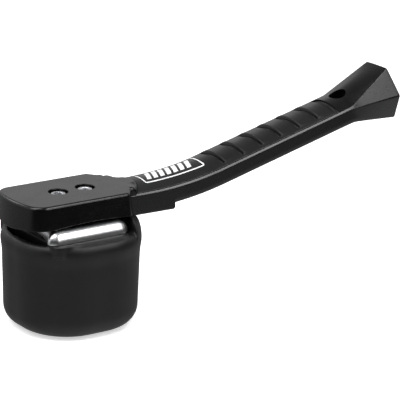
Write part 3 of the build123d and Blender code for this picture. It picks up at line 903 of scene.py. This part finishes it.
def soft_rubber(name, dark, light, rough_low, rough_high, grain_mm, depth):
    """Matte moulded rubber with fine grain, faint bloom and rubbed patches."""
    m = Nodes(name)
    bloom = m.noise(14, 5, 0.6)
    patches = m.range(m.noise(32, 3), 0.35, 0.65, 0, 1)
    specks = m.range(m.noise(0.8, 2, 0.5), 0.68, 0.78, 0, 0.5)
    tone = m.colours(m.math("ADD", m.math("MULTIPLY", bloom, 0.8), specks), dark, light)
    m.set(Base_Color=tone, Roughness=m.range(patches, 0, 1, rough_low, rough_high), IOR=1.5)
    grain = m.noise(grain_mm, 3, 0.6)
    m.bump([(bloom, 0.06, 0.4), (grain, depth, 0.6), (m.cells(grain_mm * 1.7), depth, 0.3)])
    return m.material


def bare_metal(name, tone, rough_low, rough_high, stretch):
    """Tumbled or drawn metal: fine lines along one direction, dulled patches, small nicks."""
    m = Nodes(name)
    lines = m.noise(0.5, 4, 0.65, stretch)
    dull = m.noise(7, 4)
    nicks = m.range(m.cells(3.1), 0.0, 0.07, 1, 0)
    dark = tuple(c * 0.82 for c in tone)
    rough = m.range(lines, 0.3, 0.7, rough_low, rough_high)
    rough = m.math("ADD", rough, m.math("MULTIPLY", nicks, 0.12))
    m.set(Base_Color=m.colours(dull, dark, tone), Metallic=1.0, Roughness=rough)
    m.bump([(lines, 0.01, 0.5), (dull, 0.03, 0.4), (nicks, -0.03, 0.5)])
    return m.material


def printed_white():
    """White ink, slightly worn."""
    m = Nodes("printed_white")
    worn = m.noise(1.2, 4)
    tone = m.colours(worn, (0.66, 0.66, 0.67), (0.82, 0.82, 0.83))
    m.set(Base_Color=tone, Roughness=m.range(worn, 0.3, 0.7, 0.35, 0.5))
    m.bump([(m.noise(0.4, 3), 0.01, 0.5)])
    return m.material


def label_gloss():
    """Black film with faint smears."""
    m = Nodes("label_black")
    smear = m.noise(6, 4)
    tone = m.colours(smear, (0.010, 0.010, 0.011), (0.017, 0.017, 0.018))
    m.set(Base_Color=tone, Roughness=m.range(smear, 0.3, 0.7, 0.26, 0.38), IOR=1.42)
    m.bump([(m.noise(0.5, 3), 0.01, 0.5), (smear, 0.02, 0.4)])
    return m.material


def dress(obj, material):
    obj.data.materials.clear()
    obj.data.materials.append(material)


def add(obj, material, slot, *nodes):
    """Give a finished piece its material, attach it to the root body and hide the CAD nodes it
    stands for.
    """
    dress(obj, material)
    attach(obj, "root")
    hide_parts(*nodes)


nylon = moulded_plastic()
grip_rubber = soft_rubber(
    "grip_rubber", (0.003, 0.003, 0.0032), (0.008, 0.008, 0.0083), 0.28, 0.36, 0.4, 0.02
)
block_rubber = soft_rubber(
    "block_rubber", (0.0015, 0.0015, 0.0016), (0.0042, 0.0042, 0.0044), 0.42, 0.52, 0.6, 0.03
)
aluminium = bare_metal("aluminium", (0.86, 0.87, 0.88), 0.26, 0.38, (1.0, 1.0, 12.0))
zinc = bare_metal("zinc", (0.62, 0.63, 0.65), 0.22, 0.36, (1.0, 1.0, 1.0))
black_steel = bare_metal("black_steel", (0.07, 0.07, 0.075), 0.35, 0.5, (1.0, 1.0, 1.0))
plain_steel = bare_metal("plain_steel", (0.45, 0.45, 0.46), 0.35, 0.5, (1.0, 8.0, 1.0))

add(handle_moulding(), nylon, "handle_plastic", "handle_body", "pommel_end")
add(grip_cover(), grip_rubber, "grip_rubber", "grip_cover")
add(label_film(), label_gloss(), "label_film", "label")
add(printed_frame(), printed_white(), "label_film", "label")
add(clamping_plate(), aluminium, "bright_aluminium", "clamping_plate")
add(rubber_block(), block_rubber, "block_rubber", "rubber_head")
for side, x, twist in (("front", SCREW_XS[0], pi / 6), ("rear", SCREW_XS[1], 0.0)):
    add(cap_screw("screw_" + side, x, twist), zinc, "screw_steel", "head_screws")
hidden = {
    "core_bar": plain_steel,
    "anchor_plate": plain_steel,
    "weld_nuts": zinc,
    "lock_washers": black_steel,
}
for node, material in hidden.items():
    dress(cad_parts[node], material)


# ---- floor, light and camera ----

def softbox(name, place_m, target, width, height, radiance):
    """Area light with an even surface of the given brightness."""
    light = bpy.data.lights.new(name, "AREA")
    light.shape, light.size, light.size_y = "RECTANGLE", width, height
    light.energy = radiance * pi * width * height
    obj = bpy.data.objects.new(name, light)
    bpy.context.scene.collection.objects.link(obj)
    obj.location = place_m
    aim = Vector(target) - obj.location
    obj.rotation_euler = aim.to_track_quat("-Z", "Y").to_euler()
    obj.visible_camera = False
    return obj


def make_floor():
    """Pale sweep, a hair below the striking face so that the two never share a plane."""
    mesh = bpy.data.meshes.new("floor")
    reach, low = 6.0, -0.0002
    corners = [(-reach, -reach), (reach, -reach), (reach, reach), (-reach, reach)]
    mesh.from_pydata([(x, y, low) for x, y in corners], [], [(0, 1, 2, 3)])
    obj = bpy.data.objects.new("floor", mesh)
    bpy.context.scene.collection.objects.link(obj)
    m = Nodes("floor")
    paper = m.colours(m.noise(3, 3), (0.84, 0.84, 0.84), (0.87, 0.87, 0.87))
    m.set(Base_Color=paper, Roughness=0.75, Specular_IOR_Level=0.2)
    m.set(Emission_Color=(1, 1, 1, 1), Emission_Strength=0.55)
    mesh.materials.append(m.material)
    obj.visible_glossy = False


# brightness of the studio by height, -1 straight down to 1 straight up
BACK_SKY = (
    (-1, 0.45), (-0.3, 0.3), (-0.12, 0.3), (0, 0.5), (0.2, 0.6),
    (0.3, 0.7), (0.42, 0.95), (0.5, 0.42), (0.63, 0.35), (1, 0.15),
)
FRONT_SKY = (
    (-1, 0.62), (-0.3, 0.62), (-0.24, 0.06), (-0.17, 0.005), (0.3, 0.01), (0.5, 0.1), (1, 0.15),
)
BACK_STARTS, BACK_FULL = -0.35, 0.2             # depth over which the front turns into the back


def make_world():
    """Studio surround: bright backdrop low behind the object, dark room in front."""
    world = bpy.data.worlds.new("studio")
    bpy.context.scene.world = world
    world.use_nodes = True
    tree = world.node_tree
    coordinates = tree.nodes.new("ShaderNodeTexCoord")
    split = tree.nodes.new("ShaderNodeSeparateXYZ")
    tree.links.new(coordinates.outputs["Generated"], split.inputs["Vector"])
    height = tree.nodes.new("ShaderNodeMapRange")
    height.inputs["From Min"].default_value = -1.0
    tree.links.new(split.outputs["Z"], height.inputs["Value"])
    behind = tree.nodes.new("ShaderNodeMapRange")
    behind.interpolation_type = "SMOOTHSTEP"
    behind.inputs["From Min"].default_value = BACK_STARTS
    behind.inputs["From Max"].default_value = BACK_FULL
    tree.links.new(split.outputs["Y"], behind.inputs["Value"])
    mix = tree.nodes.new("ShaderNodeMix")
    mix.data_type = "RGBA"
    tree.links.new(behind.outputs["Result"], mix.inputs["Factor"])
    for socket, stops in (("A", FRONT_SKY), ("B", BACK_SKY)):
        ramp = tree.nodes.new("ShaderNodeValToRGB")
        tree.links.new(height.outputs["Result"], ramp.inputs["Fac"])
        while len(ramp.color_ramp.elements) < len(stops):
            ramp.color_ramp.elements.new(0.5)
        for element, (z, value) in zip(ramp.color_ramp.elements, stops):
            element.position = (z + 1) / 2
            element.color = (value, value, value, 1)
        tree.links.new(ramp.outputs["Color"], mix.inputs[socket])
    back = tree.nodes["Background"]
    tree.links.new(mix.outputs["Result"], back.inputs["Color"])
    back.inputs["Strength"].default_value = 1.0


CAMERA_PLACE = (-0.786325, -1.247152, 0.542458)
CAMERA_TURN = (-35.4422, 17.3046, -1.5459)      # azimuth, elevation and roll in degrees
LENS_MM, SENSOR_MM = 216.0, 36.0


def make_camera():
    """Long-lens camera, seen from the nose's side and a little above."""
    azimuth, elevation, roll = (radians(angle) for angle in CAMERA_TURN)
    right = Vector((cos(azimuth), sin(azimuth), 0))
    back = Vector((sin(azimuth) * cos(elevation), -cos(azimuth) * cos(elevation), sin(elevation)))
    up = back.cross(right)
    rolled_right = right * cos(roll) - up * sin(roll)
    rolled_up = right * sin(roll) + up * cos(roll)
    camera = bpy.data.cameras.new("camera")
    camera.lens, camera.sensor_width = LENS_MM, SENSOR_MM
    camera.clip_start, camera.clip_end = 0.05, 50
    obj = bpy.data.objects.new("camera", camera)
    bpy.context.scene.collection.objects.link(obj)
    turn = Matrix((rolled_right, rolled_up, back)).transposed().to_4x4()
    obj.matrix_world = Matrix.Translation(CAMERA_PLACE) @ turn
    bpy.context.scene.camera = obj


# name, place and target in metres, width, height, radiance
SOFTBOXES = (
    ("key", (0.42, -0.43, 0.94), (0.08, 0, 0.09), 0.6, 0.2, 10.0),
    ("front", (0.42, -0.85, 0.68), (0.10, 0, 0.09), 0.5, 0.35, 4.5),
    ("left", (-0.42, 0.05, 0.96), (0.06, 0, 0.09), 0.6, 0.9, 4.5),
    ("back", (-0.28, 0.76, 0.66), (0.02, 0, 0.09), 0.32, 0.26, 4.0),
)
FILL = ("fill", (0.0, -0.2, 1.7), (0.06, 0, 0.0), 1.4, 1.4, 2.5)

make_floor()
make_world()
make_camera()
for values in SOFTBOXES:
    softbox(*values)
softbox(*FILL).visible_glossy = False
bpy.context.scene.view_settings.view_transform = "Standard"
